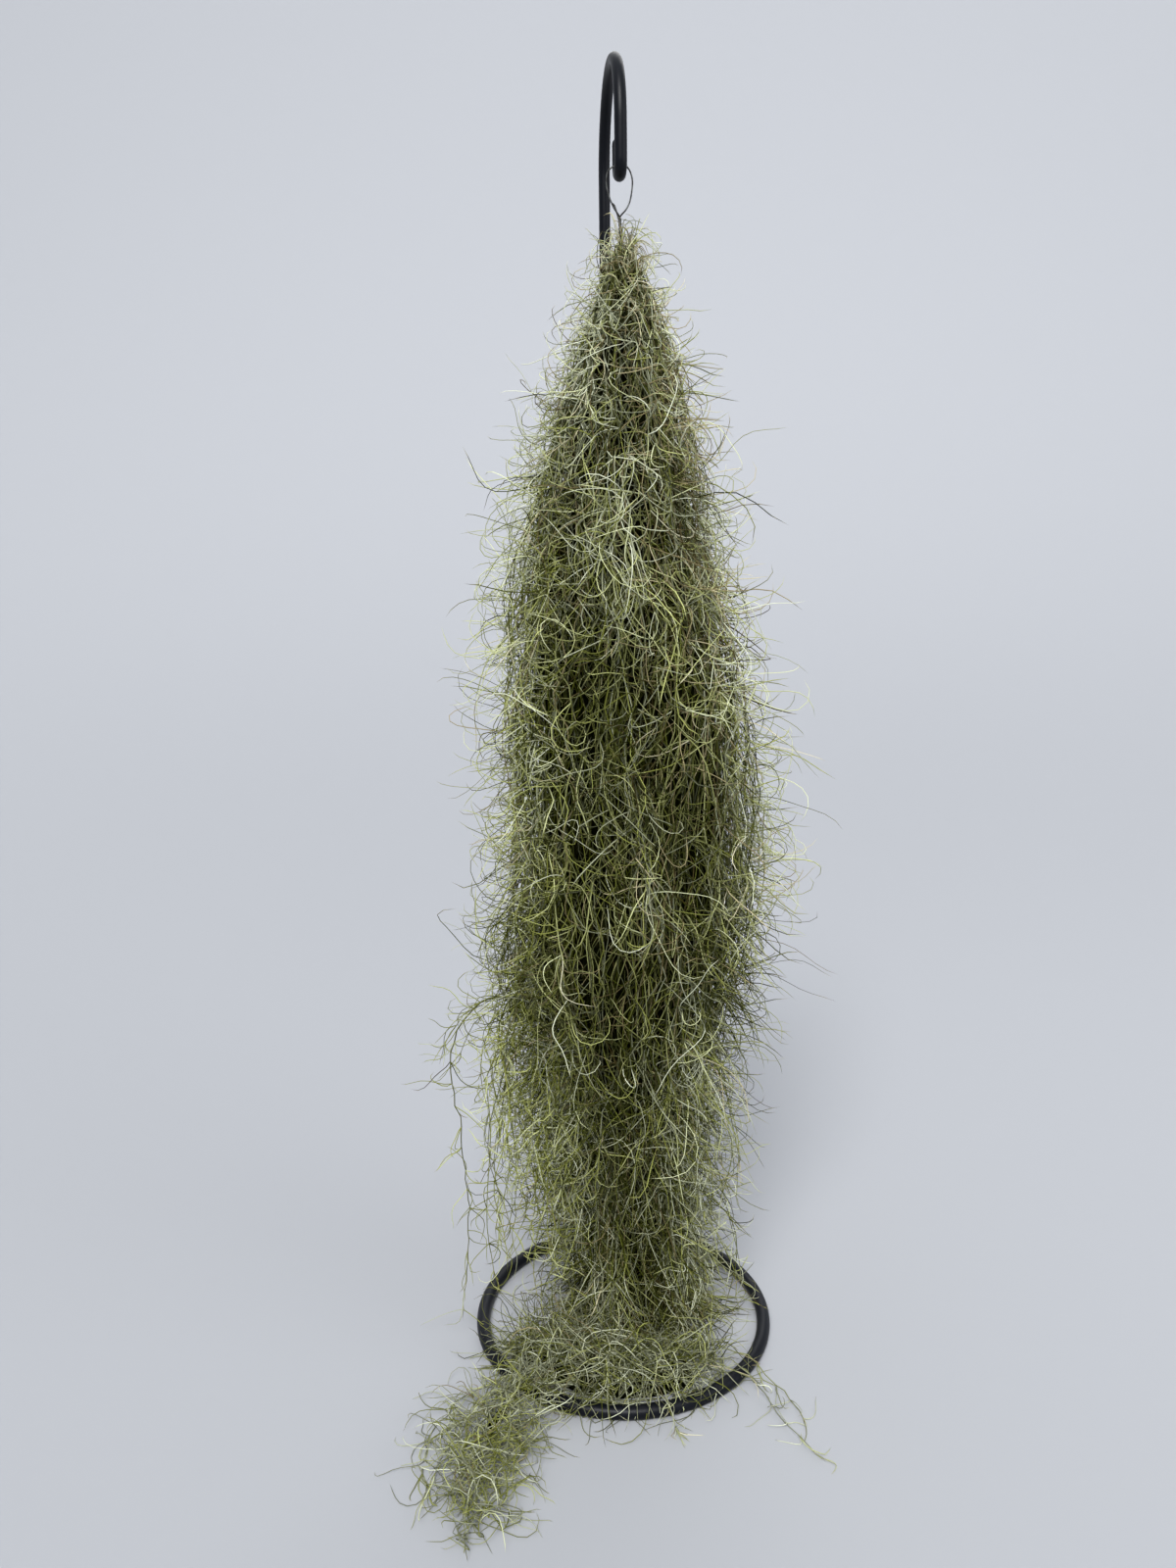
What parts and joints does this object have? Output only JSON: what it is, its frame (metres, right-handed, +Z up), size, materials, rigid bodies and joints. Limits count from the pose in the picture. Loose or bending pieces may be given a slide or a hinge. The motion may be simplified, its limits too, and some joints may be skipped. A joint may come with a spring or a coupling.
{
  "type": "spanish moss bunch on a hook stand",
  "caption": "Long bunch of Spanish moss hung by a wire loop from a free-standing hooked steel stand with a ring base, its ends heaped on the floor and trailing over the ring.",
  "frame": {"origin": "middle of the whole part's footprint, at floor level", "axes": "+Z up; the post of the stand rises on the +Y side, and the front, with the tail of moss, faces -Y"},
  "size_m": [0.4322, 0.4424, 1.208],
  "materials": {
    "stand_steel": "satin",
    "wire_steel": "satin",
    "moss_hanging": "matte",
    "moss_lying": "matte"
  },
  "bodies": {
    "root": {"stand_ring": "stand_steel", "stand_post": "stand_steel", "wire_loop": "wire_steel", "moss_hank_01": "moss_hanging", "moss_hank_02": "moss_hanging", "moss_hank_03": "moss_hanging", "moss_hank_04": "moss_hanging", "moss_hank_05": "moss_hanging", "moss_hank_06": "moss_hanging", "moss_hank_07": "moss_hanging", "moss_hank_08": "moss_hanging", "moss_hank_09": "moss_hanging", "moss_hank_10": "moss_hanging", "moss_hank_11": "moss_hanging", "moss_hank_12": "moss_hanging", "moss_pile": "moss_lying", "moss_tail": "moss_lying"}
  },
  "joints": []
}
